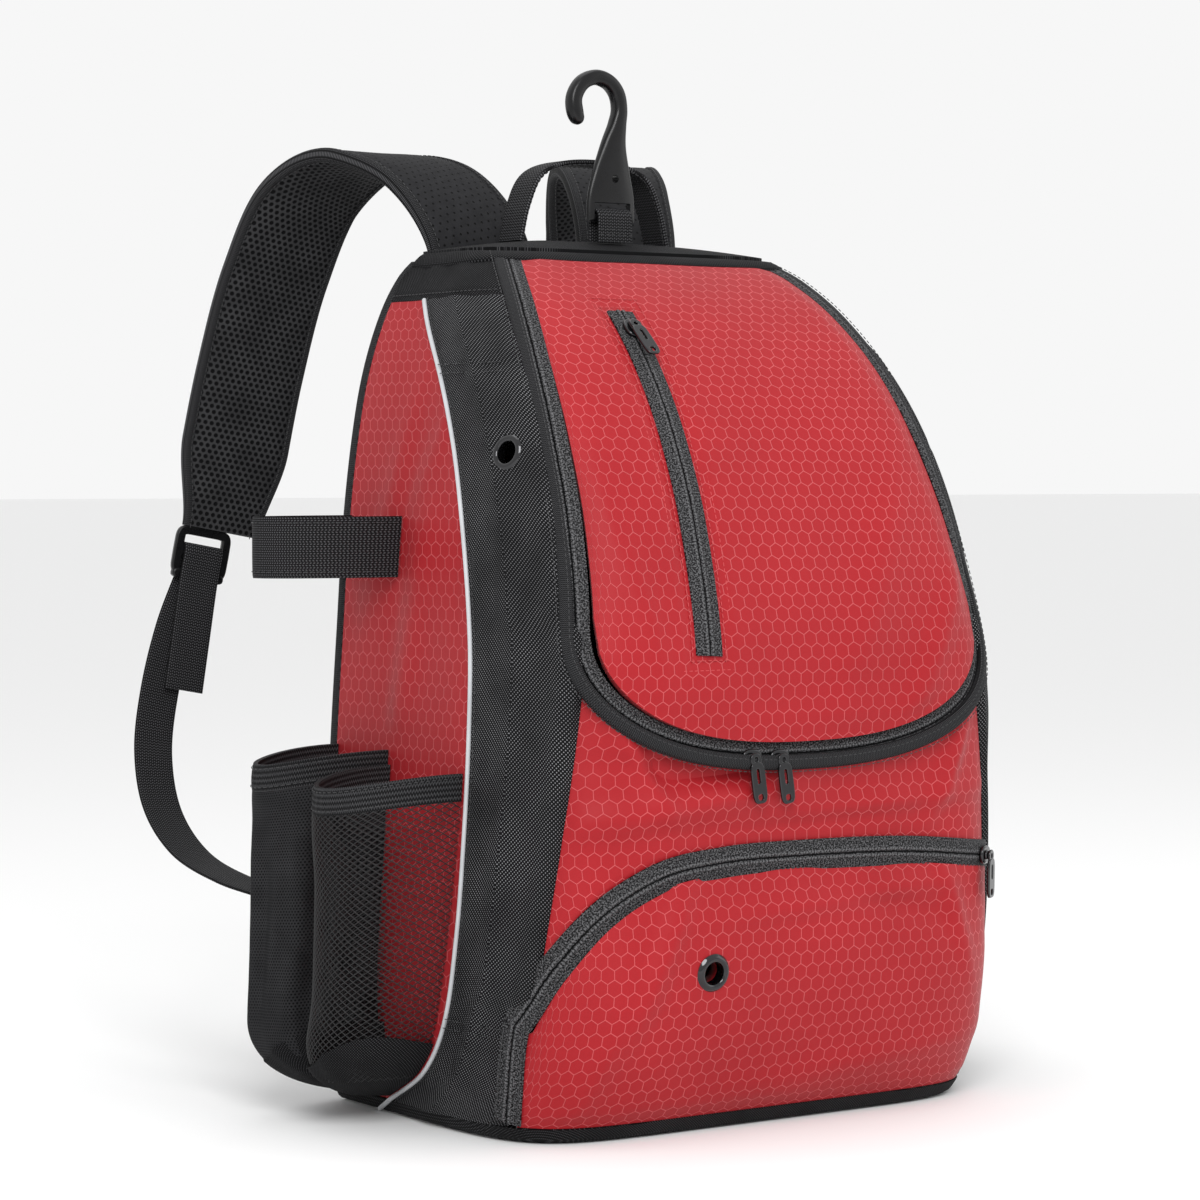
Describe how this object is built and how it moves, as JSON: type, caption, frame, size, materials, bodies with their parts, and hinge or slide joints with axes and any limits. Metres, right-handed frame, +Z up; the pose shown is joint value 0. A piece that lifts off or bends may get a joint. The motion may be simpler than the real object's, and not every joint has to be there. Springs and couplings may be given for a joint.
{
  "type": "baseball bat backpack",
  "caption": "Upright sports backpack with a curved zipped front, mesh side pockets and loops for bats, a fence hook, a haul loop and padded shoulder straps.",
  "frame": {"origin": "on the ground, in the middle of the base's lower face", "axes": "+Z up; -Y is the front with the zips; +Y is the wearer's side; +X is the bag's right as seen from the front"},
  "size_m": [0.4696, 0.4116, 0.5916],
  "materials": {
    "red_ripstop": "honeycomb ripstop, slight sheen",
    "black_cloth": "coarse plain weave, matt",
    "black_mesh": "open knit mesh, matt",
    "black_webbing": "ribbed webbing, matt",
    "zip_tape": "twill tape with a coil, matt",
    "pale_piping": "smooth reflective binding",
    "black_plastic": "moulded, soft sheen",
    "black_metal": "black plated, glossy"
  },
  "bodies": {
    "root": {"side_panel_left": "red_ripstop", "side_panel_right": "red_ripstop", "flap": "red_ripstop", "middle_panel": "red_ripstop", "lower_pocket": "red_ripstop", "base": "black_cloth", "gusset_left": "black_cloth", "gusset_right": "black_cloth", "yoke_left": "black_cloth", "yoke_right": "black_cloth", "top_panel": "black_cloth", "strap_pad_left": "black_cloth", "strap_pad_right": "black_cloth", "back_panel": "black_mesh", "bat_sleeve_left": "black_mesh", "bat_sleeve_right": "black_mesh", "bottle_pocket_left": "black_mesh", "bottle_pocket_right": "black_mesh", "bat_sleeve_hem_left": "black_webbing", "bat_sleeve_hem_right": "black_webbing", "bottle_pocket_hem_left": "black_webbing", "bottle_pocket_hem_right": "black_webbing", "bat_loop_left": "black_webbing", "bat_loop_right": "black_webbing", "haul_loop": "black_webbing", "hook_tab": "black_webbing", "strap_webbing_left": "black_webbing", "strap_webbing_right": "black_webbing", "flap_zip": "zip_tape", "lower_zip": "zip_tape", "chest_zip": "zip_tape", "piping_left": "pale_piping", "piping_right": "pale_piping", "hook": "black_plastic", "strap_buckle_left": "black_plastic", "strap_buckle_right": "black_plastic", "eyelet_left": "black_metal", "eyelet_right": "black_metal", "eyelet_pocket": "black_metal", "flap_zip_a_slider": "black_metal", "flap_zip_b_slider": "black_metal", "lower_zip_slider": "black_metal", "chest_zip_slider": "black_metal", "flap_zip_a_pull": "black_metal", "flap_zip_b_pull": "black_metal", "lower_zip_pull": "black_metal", "chest_zip_pull": "black_metal"}
  },
  "joints": []
}
